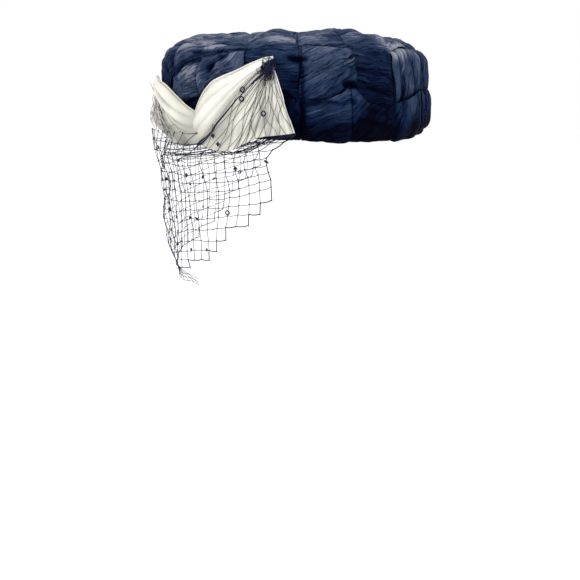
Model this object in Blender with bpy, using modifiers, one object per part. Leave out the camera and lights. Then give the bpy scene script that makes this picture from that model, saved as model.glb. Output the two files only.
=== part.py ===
"""Pillbox hat: a hollow crown covered in woven navy ribbon, with a cream satin bow and a net veil.

Metres, +Z up. The origin is the centre of the head opening, in the plane of the rim.
The wearer looks along -Y. Angles round the hat run from the front towards the wearer's
left, which is +X, and the bow sits at the wearer's left front.
"""
import math

import bmesh
import bpy
import numpy as np

# Crown: outline of the woven side, as it stands on the head
CROWN_RADIUS = 0.098
CROWN_HEIGHT = 0.0625
SHOULDER_HEIGHT = 0.0185
SHOULDER_WIDTH = 0.032
SHOULDER_FULLNESS = 1.7
CROWN_LEAN = 0.0025
CROWN_WALL = 0.0016
CROWN_SIDES = 36

# Ribbon weave over the crown
UPRIGHT_COUNT = 18
UPRIGHT_START = 15.3
HOOP_COUNT = 3
RIBBON_THICKNESS = 0.001
RIBBON_GAP = 0.003
WEAVE_STEP = 0.0007
RIBBON_PUFF = 0.0018
TIP_RIBBON_COUNT = 4
TIP_DOME = 0.0015

# Bow
BOW_ANGLE = 45.0
SATIN_THICKNESS = 0.0012
BOW_SEAT_GAP = 0.0006
FAN_STAND_OUT = 0.0062
FAN_PLEAT = 0.0012
FAN_PLEAT_COUNT = 3.5
FAN_NECK = 0.07
FAN_FLARE = 2.5
FAN_TIP_DIP = 0.06
FAN_PINCH = 0.3
FAN_OPENING = 1.5
FOLD_BULGE = 0.0052
FOLD_FRONT_SHARE = 0.7
FOLD_BACK_DEPTH = 0.35

# Veil
VEIL_HALF_ANGLE = 75.6
VEIL_COLUMNS = 18
VEIL_DROP = 0.104
VEIL_ROWS = 8
VEIL_STRAND = 0.0012
VEIL_TOP = 0.0
VEIL_BOW_EASE = 7.0

# Clearances between pieces that touch
TOUCH_GAP = 0.0003
FACET_GAP = 0.00065

# Half the stretch of outline over which its slope is read, and the distance that joins corners
OUTLINE_PROBE = 0.0015
JOIN_DISTANCE = 0.00001

# Side of the crown from the rim up to the shoulder, as shares of its height and radius
SIDE_OUTLINE = {
    "height": (0.0, 0.14, 0.40, 0.70, 1.0),
    "radius": (0.975, 1.0, 1.0, 0.992, 0.978),
}

# Upper edge of a bow wing, from the pinch to the tip, as shares of the wing's reach and rise
WING_TOP = {
    "reach": (0.03, 0.10, 0.20, 0.42, 0.70, 1.0),
    "rise": (0.18, 0.46, 0.62, 0.74, 0.90, 1.0),
}

# Lower edge of a bow wing, from the pinch to the outer corner, as shares of reach and rise
WING_BOTTOM = {
    "reach": (0.12, 0.28, 0.46, 0.62, 0.82, 1.20),
    "rise": (-0.14, -0.22, -0.21, -0.10, -0.01, 0.03),
}

# Lower edge of a wing's fold where it lies over the fan, as shares of reach and rise
FOLD_HEM = {
    "reach": (0.14, 0.98),
    "rise": (-0.12, 0.90),
}

# The two wings: side of the pinch, reach of the tip round the hat in degrees, rise of the tip
WINGS = {
    "left": (1.0, 31.0, 0.0430),
    "right": (-1.0, 34.0, 0.0380),
}

# Rows of net under each column, from the front of the face to the veil's end
VEIL_STEPS = (8, 8, 8, 7, 6, 5, 4, 4, 4)

# Veil seen from the side: share of its drop, its spread as a share of the crown's radius,
# and how much of the bow's depth it still stands off where it hangs over the bow
VEIL_OUTLINE = {
    "drop": (0.0, 0.125, 0.25, 0.60, 1.0),
    "spread": (0.0, 0.03, 0.06, 0.055, 0.01),
    "over_bow": (1.0, 1.0, 0.50, 0.12, 0.0),
}


def side_outline(share):
    """Radius and height on the woven side, for a share of the way from the rim to the shoulder."""
    radius = CROWN_RADIUS * np.interp(share, SIDE_OUTLINE["height"], SIDE_OUTLINE["radius"])
    height = share * (CROWN_HEIGHT - SHOULDER_HEIGHT)
    return radius, height


def crown_outline(samples=120):
    """Radius and height along the outline: the side, then the round shoulder up to the tip."""
    side_radius, side_height = side_outline(np.linspace(0.0, 1.0, samples))
    turn = np.linspace(0.0, math.pi / 2, samples)[1:]
    power = 2.0 / SHOULDER_FULLNESS
    shoulder_radius = side_radius[-1] - SHOULDER_WIDTH * (1.0 - np.cos(turn) ** power)
    shoulder_height = side_height[-1] + SHOULDER_HEIGHT * np.sin(turn) ** power
    radius = np.concatenate([side_radius, shoulder_radius])
    height = np.concatenate([side_height, shoulder_height])
    return radius, height


OUTLINE_RADIUS, OUTLINE_HEIGHT = crown_outline()
OUTLINE_STEPS = np.hypot(np.diff(OUTLINE_RADIUS), np.diff(OUTLINE_HEIGHT))
OUTLINE_RUN = np.concatenate([[0.0], np.cumsum(OUTLINE_STEPS)])
SIDE_RUN = OUTLINE_RUN[-1]
TIP_RADIUS = OUTLINE_RADIUS[-1]
ROW_PITCH = SIDE_RUN / HOOP_COUNT
COLUMN_PITCH = 360.0 / UPRIGHT_COUNT
COLUMN_GAP = math.degrees(RIBBON_GAP / CROWN_RADIUS)


def round_hat(angle, radius, height):
    """Point at an angle from the front, a radius from the crown's axis and a height."""
    turn = math.radians(angle)
    lean = CROWN_LEAN * max(height, 0.0) / CROWN_HEIGHT
    return (radius * math.sin(turn), -radius * math.cos(turn) - lean, height)


def on_crown(angle, run, lift):
    """Point on the crown's outline, a run up from the rim, lifted off along its normal."""
    radius = np.interp(run, OUTLINE_RUN, OUTLINE_RADIUS)
    height = np.interp(run, OUTLINE_RUN, OUTLINE_HEIGHT)
    ends = (max(run - OUTLINE_PROBE, 0.0), min(run + OUTLINE_PROBE, SIDE_RUN))
    slope_radius = np.diff(np.interp(ends, OUTLINE_RUN, OUTLINE_RADIUS))[0]
    slope_height = np.diff(np.interp(ends, OUTLINE_RUN, OUTLINE_HEIGHT))[0]
    length = math.hypot(slope_radius, slope_height)
    out = slope_height / length
    up = -slope_radius / length
    return round_hat(angle, radius + lift * out, height + lift * up)


def crown_radius_at(height):
    """Radius of the woven side at a height, the rim's radius below the rim."""
    return float(np.interp(height, OUTLINE_HEIGHT, OUTLINE_RADIUS))


def weave_lift(over, across, along):
    """Height of a ribbon off the crown's outline, inside one crossing of the weave."""
    if not over:
        return -WEAVE_STEP
    dome = (1.0 - (2.0 * across - 1.0) ** 2) * (1.0 - (2.0 * along - 1.0) ** 2)
    return WEAVE_STEP + RIBBON_PUFF * dome


def finish_material(name, colour, roughness, sheen=0.0):
    """Principled material of one cloth."""
    material = bpy.data.materials.new(name)
    material.use_nodes = True
    shader = material.node_tree.nodes["Principled BSDF"]
    shader.inputs["Base Color"].default_value = (*colour, 1.0)
    shader.inputs["Roughness"].default_value = roughness
    shader.inputs["Metallic"].default_value = 0.0
    shader.inputs["Sheen Weight"].default_value = sheen
    return material


def sheet(name, stations, place, thickness, offset=0.0):
    """A sheet of cloth: a grid laid on a surface by place(first, second), given its thickness."""
    first, second = stations
    mesh = bpy.data.meshes.new(name)
    grid = bmesh.new()
    bmesh.ops.create_grid(grid, x_segments=len(first) - 1, y_segments=len(second) - 1, size=0.5)
    for vertex in grid.verts:
        column = round((vertex.co.x + 0.5) * (len(first) - 1))
        row = round((vertex.co.y + 0.5) * (len(second) - 1))
        vertex.co = place(first[column], second[row])
    bmesh.ops.remove_doubles(grid, verts=grid.verts, dist=JOIN_DISTANCE)
    grid.to_mesh(mesh)
    grid.free()
    piece = bpy.data.objects.new(name, mesh)
    wall = piece.modifiers.new("Cloth", "SOLIDIFY")
    wall.thickness = thickness
    wall.offset = offset
    wall.use_even_offset = True
    return piece


def build_crown():
    """The hollow base that the ribbons are sewn to, open at the head."""
    lift = -(WEAVE_STEP + RIBBON_THICKNESS / 2 + FACET_GAP)
    angles = np.linspace(0.0, 360.0, CROWN_SIDES + 1)
    runs = list(np.linspace(0.0, SIDE_RUN, 10))
    centre = SIDE_RUN + TIP_RADIUS

    def place(angle, run):
        if run > SIDE_RUN:
            return (0.0, -CROWN_LEAN, CROWN_HEIGHT + lift)
        return on_crown(angle, run, lift)

    return sheet("crown", (angles, runs + [centre]), place, CROWN_WALL, offset=-1.0)


def crossing_stations(start, pitch, count, gap, parts):
    """Stations along a ribbon: each crossing's two edges and its inner steps."""
    stations = []
    for crossing in range(count):
        low = start + crossing * pitch + gap / 2
        high = start + (crossing + 1) * pitch - gap / 2
        stations.extend(np.linspace(low, high, parts + 1))
    return stations


def build_upright(index):
    """One upright ribbon, over and under the hoops from the rim to the edge of the tip."""
    centre = UPRIGHT_START + index * COLUMN_PITCH
    half = (COLUMN_PITCH - COLUMN_GAP) / 2
    across = np.linspace(-half, half, 3)
    runs = crossing_stations(0.0, ROW_PITCH, HOOP_COUNT, RIBBON_GAP, 3)

    def place(turn, run):
        row = min(int(run / ROW_PITCH), HOOP_COUNT - 1)
        inside = (run - row * ROW_PITCH - RIBBON_GAP / 2) / (ROW_PITCH - RIBBON_GAP)
        over = (index + row) % 2 == 1
        lift = weave_lift(over, (turn + half) / (2 * half), inside)
        return on_crown(centre + turn, run, lift)

    return sheet(f"upright_{index + 1:02d}", (across, runs), place, RIBBON_THICKNESS)


def build_hoop(row):
    """One ribbon round the hat, over the uprights that go under it."""
    start = UPRIGHT_START - COLUMN_PITCH / 2
    angles = crossing_stations(start, COLUMN_PITCH, UPRIGHT_COUNT, COLUMN_GAP, 2)
    angles.append(angles[0] + 360.0)
    margin = RIBBON_GAP / 2 + TOUCH_GAP * 2
    low = row * ROW_PITCH + margin
    high = (row + 1) * ROW_PITCH - margin
    runs = np.linspace(low, high, 4)

    def place(angle, run):
        column = int((angle - start) / COLUMN_PITCH) % UPRIGHT_COUNT
        turn = (angle - start) % COLUMN_PITCH - COLUMN_GAP / 2
        over = (column + row) % 2 == 0
        lift = weave_lift(over, turn / (COLUMN_PITCH - COLUMN_GAP), (run - low) / (high - low))
        return on_crown(angle, run, lift)

    return sheet(f"hoop_{row + 1}", (angles, runs), place, RIBBON_THICKNESS)


def tip_cutter():
    """Round cutter that trims the ribbons of the tip to the shoulder's edge."""
    bpy.ops.mesh.primitive_cylinder_add(vertices=UPRIGHT_COUNT * 2, radius=TIP_RADIUS - TOUCH_GAP * 2,
                                        depth=CROWN_HEIGHT, location=(0.0, -CROWN_LEAN, CROWN_HEIGHT))
    cutter = bpy.context.active_object
    cutter.name = "tip_trim"
    return cutter


def build_tip_ribbon(index, lengthwise, cutter):
    """One ribbon of the flat tip, over and under the ribbons that cross it."""
    pitch = 2.0 * TIP_RADIUS / TIP_RIBBON_COUNT
    centre = -TIP_RADIUS + (index + 0.5) * pitch
    half = (pitch - RIBBON_GAP) / 2
    across = np.linspace(-half, half, 3)
    along = crossing_stations(-TIP_RADIUS, pitch, TIP_RIBBON_COUNT, RIBBON_GAP, 2)
    along[0] -= RIBBON_GAP
    along[-1] += RIBBON_GAP

    def place(side, run):
        crossing = min(max(int((run + TIP_RADIUS) / pitch), 0), TIP_RIBBON_COUNT - 1)
        inside = (run + TIP_RADIUS - crossing * pitch - RIBBON_GAP / 2) / (pitch - RIBBON_GAP)
        inside = min(max(inside, 0.0), 1.0)
        over = (index + crossing) % 2 == (1 if lengthwise else 0)
        lift = weave_lift(over, (side + half) / (2 * half), inside)
        x, y = (centre + side, run) if lengthwise else (run, centre + side)
        dome = TIP_DOME * (1.0 - (x * x + y * y) / (TIP_RADIUS * TIP_RADIUS))
        return (x, y - CROWN_LEAN, CROWN_HEIGHT + lift + dome)

    name = f"tip_{'lengthwise' if lengthwise else 'crosswise'}_{index + 1}"
    piece = sheet(name, (across, along), place, RIBBON_THICKNESS)
    trim = piece.modifiers.new("Trim", "BOOLEAN")
    trim.operation = "INTERSECT"
    trim.object = cutter
    return piece


def edge_at(edge, share):
    """Reach and rise at a share of the way along one of a wing's edges."""
    stations = np.linspace(0.0, 1.0, len(edge["reach"]))
    return float(np.interp(share, stations, edge["reach"])), float(np.interp(share, stations, edge["rise"]))


def wing_point(side, reach, rise, share_reach, share_rise, stand_out):
    """Point of a wing at shares of its reach and rise, standing out from the woven side."""
    height = rise * share_rise
    cloth = WEAVE_STEP + RIBBON_THICKNESS / 2 + RIBBON_PUFF + BOW_SEAT_GAP
    radius = crown_radius_at(height) + cloth + stand_out
    return round_hat(BOW_ANGLE + side * reach * share_reach, radius, height)


def fan_stand_out(share, drop):
    """How far the fan's middle layer stands out, from its pinched edge to its outer corner."""
    opening = FAN_PINCH + (1.0 - FAN_PINCH) * math.sin(math.pi / 2 * min(FAN_OPENING * share, 1.0))
    pleat = FAN_PLEAT * drop * (1.0 + math.cos(2.0 * math.pi * FAN_PLEAT_COUNT * share))
    return SATIN_THICKNESS / 2 + FAN_STAND_OUT * opening * drop ** FAN_FLARE + pleat


def build_fan(name, side, reach, rise):
    """Lower part of a wing: a pleated fan from the tip down to the bow's lower edge."""
    along = np.linspace(0.0, 1.0, 11)
    down = np.linspace(FAN_NECK, 1.0, 6)
    tip_rise = WING_TOP["rise"][-1] - FAN_TIP_DIP

    def place(share, drop):
        foot_reach, foot_rise = edge_at(WING_BOTTOM, share)
        share_reach = 1.0 + (foot_reach - 1.0) * drop
        share_rise = tip_rise + (foot_rise - tip_rise) * drop
        return wing_point(side, reach, rise, share_reach, share_rise, fan_stand_out(share, drop))

    return sheet(f"bow_fan_{name}", (along, down), place, SATIN_THICKNESS)


def build_fold(name, side, reach, rise):
    """Upper part of a wing: a band folded over along the wing's top edge."""
    along = np.linspace(0.0, 1.0, 11)
    turns = np.linspace(0.0, 1.0, 9)
    edge_stand_out = SATIN_THICKNESS + BOW_SEAT_GAP / 2

    def place(share, turn):
        top_reach, top_rise = edge_at(WING_TOP, share)
        hem_reach, hem_rise = edge_at(FOLD_HEM, share)
        front = min(turn / FOLD_FRONT_SHARE, 1.0)
        back = max(turn - FOLD_FRONT_SHARE, 0.0) / (1.0 - FOLD_FRONT_SHARE)
        blend = front - FOLD_BACK_DEPTH * back
        hem_stand_out = fan_stand_out(0.0, 1.0 - share) + SATIN_THICKNESS + TOUCH_GAP
        bulge = FOLD_BULGE * math.sin(math.pi * share) * math.sin(math.pi * front)
        stand_out = hem_stand_out + (edge_stand_out - hem_stand_out) * front ** 3 + bulge
        stand_out -= back * SATIN_THICKNESS / 2
        share_reach = hem_reach + (top_reach - hem_reach) * blend
        share_rise = hem_rise + (top_rise - hem_rise) * blend
        return wing_point(side, reach, rise, share_reach, share_rise, stand_out)

    return sheet(f"bow_fold_{name}", (along, turns), place, SATIN_THICKNESS)


def bow_cover(angle):
    """One where the net hangs over the bow, easing to nothing just past its wings."""
    side, reach, rise = WINGS["left"] if angle > BOW_ANGLE else WINGS["right"]
    mesh_pitch = 2.0 * VEIL_HALF_ANGLE / VEIL_COLUMNS
    wing_end = reach * WING_BOTTOM["reach"][-1] + mesh_pitch
    past = (abs(angle - BOW_ANGLE) - wing_end) / VEIL_BOW_EASE
    return min(max(1.0 - past, 0.0), 1.0)


def veil_point(angle, height):
    """Point of the hanging net at an angle from the front and a height."""
    share = (VEIL_TOP - height) / VEIL_DROP
    spread = float(np.interp(share, VEIL_OUTLINE["drop"], VEIL_OUTLINE["spread"]))
    over_bow = float(np.interp(share, VEIL_OUTLINE["drop"], VEIL_OUTLINE["over_bow"]))
    seat = crown_radius_at(0.0) + WEAVE_STEP + RIBBON_THICKNESS / 2
    bow_depth = BOW_SEAT_GAP + RIBBON_PUFF + SATIN_THICKNESS + FAN_STAND_OUT + 2 * FAN_PLEAT
    bow_depth += 2 * TOUCH_GAP + VEIL_STRAND / 2
    radius = seat + CROWN_RADIUS * spread * (1.0 - bow_cover(angle) * over_bow)
    radius += bow_depth * bow_cover(angle) * over_bow
    return round_hat(angle, radius, height)


def build_veil():
    """The net veil over the face, its lower edge cut in steps, with every mesh open."""
    pitch = 2.0 * VEIL_HALF_ANGLE / VEIL_COLUMNS
    drop = VEIL_DROP / VEIL_ROWS
    mesh = bpy.data.meshes.new("veil")
    net = bmesh.new()
    bmesh.ops.create_grid(net, x_segments=VEIL_COLUMNS, y_segments=VEIL_ROWS, size=0.5)
    surplus = []
    for face in net.faces:
        centre = face.calc_center_median()
        column = int((centre.x + 0.5) * VEIL_COLUMNS)
        row = VEIL_ROWS - 1 - int((centre.y + 0.5) * VEIL_ROWS)
        from_front = abs(column - (VEIL_COLUMNS - 1) / 2) - 0.5
        if row >= VEIL_STEPS[int(from_front)]:
            surplus.append(face)
    bmesh.ops.delete(net, geom=surplus, context="FACES")
    for vertex in net.verts:
        angle = vertex.co.x * pitch * VEIL_COLUMNS
        height = VEIL_TOP + (vertex.co.y - 0.5) * drop * VEIL_ROWS
        vertex.co = veil_point(angle, height)
    net.to_mesh(mesh)
    net.free()
    piece = bpy.data.objects.new("veil", mesh)
    strands = piece.modifiers.new("Strands", "WIREFRAME")
    strands.thickness = VEIL_STRAND
    strands.use_boundary = True
    strands.use_even_offset = True
    strands.use_replace = True
    return piece


def place_piece(piece, collection, material):
    """Link a piece into its collection and give it its cloth."""
    if piece.name not in collection.objects:
        collection.objects.link(piece)
    piece.data.materials.clear()
    piece.data.materials.append(material)


for leftover in list(bpy.data.objects):
    bpy.data.objects.remove(leftover, do_unlink=True)

parts = bpy.data.collections.new("pillbox_hat")
cutters = bpy.data.collections.new("cutters")
bpy.context.scene.collection.children.link(parts)
bpy.context.scene.collection.children.link(cutters)

backing = finish_material("crown_backing", (0.010, 0.013, 0.028), 0.9)
place_piece(build_crown(), parts, backing)

for number in range(UPRIGHT_COUNT):
    cloth = finish_material(f"upright_ribbon_{number + 1:02d}", (0.016, 0.022, 0.055), 0.62, 0.3)
    place_piece(build_upright(number), parts, cloth)

for number in range(HOOP_COUNT):
    cloth = finish_material(f"hoop_ribbon_{number + 1}", (0.014, 0.020, 0.050), 0.62, 0.3)
    place_piece(build_hoop(number), parts, cloth)

trimmer = tip_cutter()
trimmer.display_type = "WIRE"
trimmer.hide_render = True
for owner in list(trimmer.users_collection):
    owner.objects.unlink(trimmer)
cutters.objects.link(trimmer)
for number in range(TIP_RIBBON_COUNT):
    for lengthwise in (True, False):
        ribbon = build_tip_ribbon(number, lengthwise, trimmer)
        cloth = finish_material(f"{ribbon.name}_ribbon", (0.015, 0.021, 0.052), 0.62, 0.3)
        place_piece(ribbon, parts, cloth)

for wing, (side, reach, rise) in WINGS.items():
    satin = finish_material(f"bow_satin_{wing}", (0.80, 0.77, 0.66), 0.35, 0.2)
    place_piece(build_fan(wing, side, reach, rise), parts, satin)
    satin = finish_material(f"bow_fold_satin_{wing}", (0.82, 0.79, 0.68), 0.35, 0.2)
    place_piece(build_fold(wing, side, reach, rise), parts, satin)

net_thread = finish_material("veil_net", (0.012, 0.014, 0.040), 0.7)
place_piece(build_veil(), parts, net_thread)
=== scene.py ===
"""Looks of the pillbox hat: woven crinkled navy ribbon, a cream satin bow and a navy net veil."""
import math

import bpy
import numpy as np
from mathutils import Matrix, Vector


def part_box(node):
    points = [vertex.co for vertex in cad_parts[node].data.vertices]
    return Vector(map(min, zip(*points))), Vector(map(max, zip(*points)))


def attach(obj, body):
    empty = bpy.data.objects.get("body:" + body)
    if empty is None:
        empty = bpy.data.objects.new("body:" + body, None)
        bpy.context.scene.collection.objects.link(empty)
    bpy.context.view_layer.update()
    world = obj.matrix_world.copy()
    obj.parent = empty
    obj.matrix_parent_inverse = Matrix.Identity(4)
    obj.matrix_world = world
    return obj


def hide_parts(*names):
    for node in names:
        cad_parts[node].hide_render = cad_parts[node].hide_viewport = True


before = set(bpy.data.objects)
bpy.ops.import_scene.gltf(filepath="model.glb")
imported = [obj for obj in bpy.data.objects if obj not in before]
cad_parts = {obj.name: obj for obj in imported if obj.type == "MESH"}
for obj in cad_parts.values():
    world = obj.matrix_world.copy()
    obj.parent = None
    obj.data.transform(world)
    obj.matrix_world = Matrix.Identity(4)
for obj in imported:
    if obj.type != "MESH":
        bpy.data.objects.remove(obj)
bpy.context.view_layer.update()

# Crown base: a cap of stiffened cloth, blocked to shape and dyed navy. Every ribbon is sewn
# down on it by hand. It shows inside the hat and as darkness in the gaps of the weave.
BASE_DEPTH = 0.00185
BASE_WALL = 0.0014
crown_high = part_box("crown")[1]
CROWN_RADIUS = crown_high[0] + BASE_DEPTH
CROWN_HEIGHT = crown_high[2] + BASE_DEPTH
CROWN_LEAN = 0.0025
SHOULDER_HEIGHT = 0.0185
SHOULDER_WIDTH = 0.032
SHOULDER_FULLNESS = 1.7
SIDE_SHARES = (0.0, 0.14, 0.40, 0.70, 1.0)
SIDE_RADII = (0.975, 1.0, 1.0, 0.992, 0.978)
HEM_TURN = 0.0023
HEM_TUCK = 0.007
RIM_SAG = 0.0030
RIM_SAG_ANGLE = 118.0
RIM_SAG_SPREAD = 30.0

# How far the top of the old hat has settled at each angle round it, in millimetres
SETTLED = {
    "angle": (0.0, 30.0, 44.0, 51.0, 60.0, 65.0, 69.0, 73.0, 78.0, 84.0, 92.0, 100.0, 108.0, 114.0, 118.0,
              126.0, 137.0, 146.0, 160.0, 200.0, 240.0, 290.0, 330.0, 360.0),
    "drop": (1.5, 1.6, 1.8, 2.0, 3.2, 3.6, 2.8, 1.8, 1.4, 2.2, 2.2, 1.9, 0.6, 0.2, 0.6, 1.9, 2.2, 2.6,
             2.0, 1.5, 2.0, 1.2, 1.8, 1.5),
}
MIDDLE_DROP = 0.0018


def ease(value):
    """A step from 0 to 1 with soft ends."""
    value = np.clip(value, 0.0, 1.0)
    return value * value * (3.0 - 2.0 * value)


def settle(angle):
    """How far the top has settled at an angle, in metres."""
    return 0.001 * np.interp(np.mod(angle, 360.0), SETTLED["angle"], SETTLED["drop"])


def crown_outline(samples=500):
    """Radius and height of the cloth from inside the rim to the tip's edge. The hem is a half
    circle under the rim, the side a smoothed table of shares of the crown's size, and the
    shoulder a flattened quarter ellipse: width by cosine and height by sine, to one power."""
    share = np.linspace(0.0, 1.0, samples)
    side_radius = CROWN_RADIUS * np.interp(share, SIDE_SHARES, SIDE_RADII)
    side_height = share * (CROWN_HEIGHT - SHOULDER_HEIGHT)
    turn = np.linspace(0.0, math.pi, samples)
    hem_radius = side_radius[0] - HEM_TURN - HEM_TURN * np.cos(turn)
    hem_height = -HEM_TURN * np.sin(turn)
    bend = np.linspace(0.0, math.pi / 2, samples)[1:]
    power = 2.0 / SHOULDER_FULLNESS
    shoulder_radius = side_radius[-1] - SHOULDER_WIDTH * (1.0 - np.cos(bend) ** power)
    shoulder_height = side_height[-1] + SHOULDER_HEIGHT * np.sin(bend) ** power
    radius = np.concatenate([[hem_radius[0]], hem_radius, side_radius[1:], shoulder_radius])
    height = np.concatenate([[HEM_TUCK], hem_height, side_height[1:], shoulder_height])
    tip_end = np.linspace(0.0, 1.0, 40)[1:]
    radius = np.concatenate([radius, radius[-1] * (1.0 - tip_end)])
    height = np.concatenate([height, np.full(len(tip_end), height[-1])])
    steps = np.hypot(np.diff(radius), np.diff(height))
    run = np.concatenate([[0.0], np.cumsum(steps)])
    rim = run[samples]
    even = np.linspace(run[0], run[-1], 3000)
    blur = np.hanning(61) / np.hanning(61).sum()
    radius = np.interp(even, run, radius)
    height = np.interp(even, run, height)
    radius[60:-60] = np.convolve(radius, blur, "same")[60:-60]
    height[60:-60] = np.convolve(height, blur, "same")[60:-60]
    return radius, height, even - rim


OUTLINE_RADIUS, OUTLINE_HEIGHT, OUTLINE_RUN = crown_outline()
SLOPE_RADIUS = np.gradient(OUTLINE_RADIUS)
SLOPE_HEIGHT = np.gradient(OUTLINE_HEIGHT)
SLOPE_LENGTH = np.maximum(np.hypot(SLOPE_RADIUS, SLOPE_HEIGHT), 1e-9)
TIP_RADIUS = CROWN_RADIUS * SIDE_RADII[-1] - SHOULDER_WIDTH
SIDE_RUN = OUTLINE_RUN[-1] - TIP_RADIUS


def on_crown(angle, run, lift):
    """Points off the crown: the outline at a run up from the rim, moved out along its normal by
    lift, turned round the crown by angle, leant forward with height, let down at the sag of the
    rim, and settled over the shoulder."""
    radius = np.interp(run, OUTLINE_RUN, OUTLINE_RADIUS)
    height = np.interp(run, OUTLINE_RUN, OUTLINE_HEIGHT)
    out = np.interp(run, OUTLINE_RUN, SLOPE_HEIGHT / SLOPE_LENGTH)
    up = np.interp(run, OUTLINE_RUN, -SLOPE_RADIUS / SLOPE_LENGTH)
    turn = np.radians(angle)
    distance = radius + lift * out
    level = height + lift * up
    from_sag = (angle - RIM_SAG_ANGLE + 180.0) % 360.0 - 180.0
    sag = RIM_SAG * np.exp(-(from_sag / RIM_SAG_SPREAD) ** 2)
    low = np.clip(1.0 - level / (0.6 * CROWN_HEIGHT), 0.0, 1.0)
    lean = CROWN_LEAN * np.clip(level, 0.0, None) / CROWN_HEIGHT
    settled = settle(angle) * ease((level / CROWN_HEIGHT - 0.75) / 0.22)
    inward = np.clip(radius / TIP_RADIUS, 0.0, 1.0) ** 2
    settled = MIDDLE_DROP * (1.0 - inward) + settled * inward
    level = level - sag * low - settled
    return np.stack([distance * np.sin(turn), -distance * np.cos(turn) - lean, level], axis=-1)


def lay_cloth(name, points, grain, tone, material, thickness, ring=False):
    """A sheet from a grid of points: each four neighbours make a face, a ring joins its last
    column to its first, and Solidify gives the cloth its thickness on the inner side. grain is
    the flat place of each point on the cloth, for its map, and tone how light the cloth is."""
    columns, rows = points.shape[:2]
    index = np.arange(columns * rows).reshape(columns, rows)
    across = np.concatenate([index, index[:1]]) if ring else index
    corners = [across[:-1, :-1], across[1:, :-1], across[1:, 1:], across[:-1, 1:]]
    faces = np.stack(corners, axis=-1).reshape(-1, 4)
    mesh = bpy.data.meshes.new(name)
    mesh.from_pydata(points.reshape(-1, 3).tolist(), [], faces.tolist())
    flat = grain.reshape(-1, 2)[faces.reshape(-1)]
    mesh.uv_layers.new(name="cloth").data.foreach_set("uv", flat.astype(np.float32).reshape(-1))
    tones = mesh.attributes.new("tone", "FLOAT", "POINT")
    tones.data.foreach_set("value", tone.reshape(-1).astype(np.float32))
    mesh.shade_smooth()
    mesh.materials.append(material)
    piece = bpy.data.objects.new(name, mesh)
    bpy.context.scene.collection.objects.link(piece)
    wall = piece.modifiers.new("Cloth", "SOLIDIFY")
    wall.thickness = thickness
    wall.offset = -1.0
    return piece


def new_material(name, colour, roughness, sheen=0.0, sheen_tint=(1.0, 1.0, 1.0)):
    """An empty cloth material: its shader, with what is uniform set on the sockets."""
    material = bpy.data.materials.new(name)
    material.use_nodes = True
    shader = material.node_tree.nodes["Principled BSDF"]
    shader.inputs["Base Color"].default_value = (*colour, 1.0)
    shader.inputs["Roughness"].default_value = roughness
    shader.inputs["Sheen Weight"].default_value = sheen
    shader.inputs["Sheen Roughness"].default_value = 0.5
    shader.inputs["Sheen Tint"].default_value = (*sheen_tint, 1.0)
    shader.inputs["Specular IOR Level"].default_value = 0.4
    return material, material.node_tree, shader


def add_node(tree, kind, inputs, **settings):
    """A node of a material: first its settings, then each named or numbered input, which is
    linked where it is given another node's output and set where it is given a value."""
    node = tree.nodes.new("ShaderNode" + kind)
    for setting, value in settings.items():
        setattr(node, setting, value)
    for socket, value in inputs.items():
        if isinstance(value, bpy.types.NodeSocket):
            tree.links.new(value, node.inputs[socket])
        else:
            node.inputs[socket].default_value = value
    return node


def base_cloth():
    """Dark stiffened cloth: a fine grain of noise that mottles it and is raised in relief."""
    material, tree, shader = new_material("crown_base_cloth", (0.004, 0.005, 0.014), 0.85)
    shader.inputs["Specular IOR Level"].default_value = 0.02
    place = add_node(tree, "TexCoord", {}).outputs["Object"]
    grain = add_node(tree, "TexNoise", {"Vector": place, "Scale": 900.0}).outputs["Fac"]
    colours = {"Factor": grain, "A": (0.003, 0.004, 0.012, 1.0), "B": (0.016, 0.020, 0.040, 1.0)}
    shade = add_node(tree, "Mix", colours, data_type="RGBA")
    relief = add_node(tree, "Bump", {"Strength": 0.4, "Distance": 0.0003, "Height": grain})
    tree.links.new(shade.outputs["Result"], shader.inputs["Base Color"])
    tree.links.new(relief.outputs["Normal"], shader.inputs["Normal"])
    return material


BASE_RIM = 0.0006
angle = np.linspace(0.0, 360.0, 217)[:-1]
tip_run = SIDE_RUN + TIP_RADIUS * np.linspace(0.05, 0.995, 30)
run = np.concatenate([np.linspace(BASE_RIM, SIDE_RUN, 60), tip_run])
grid_angle, grid_run = np.meshgrid(angle, run, indexing="ij")
base_points = on_crown(grid_angle, grid_run, np.full(grid_run.shape, -BASE_DEPTH))
base_grain = np.stack([np.radians(grid_angle) * CROWN_RADIUS, grid_run], axis=-1)
base_tone = np.zeros(grid_run.shape)
base = lay_cloth("crown_base", base_points, base_grain, base_tone, base_cloth(), BASE_WALL, ring=True)
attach(base, "root")
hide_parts("crown")

# Ribbon weave: wide crinkled navy ribbon, soft as crepe paper, laid over and under round the
# crown and turned in under the rim. Each length is sewn down at its ends and at each crossing.
UPRIGHT_COUNT = 18
UPRIGHT_START = 15.3
HOOP_COUNT = 3
RIBBON_WALL = 0.0005
WEAVE_STEP = 0.0006
COLUMN_PITCH = 360.0 / UPRIGHT_COUNT
ROW_PITCH = SIDE_RUN / HOOP_COUNT
RIBBON_COVER = 1.01
GRID_STEP = 0.0010

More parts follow.
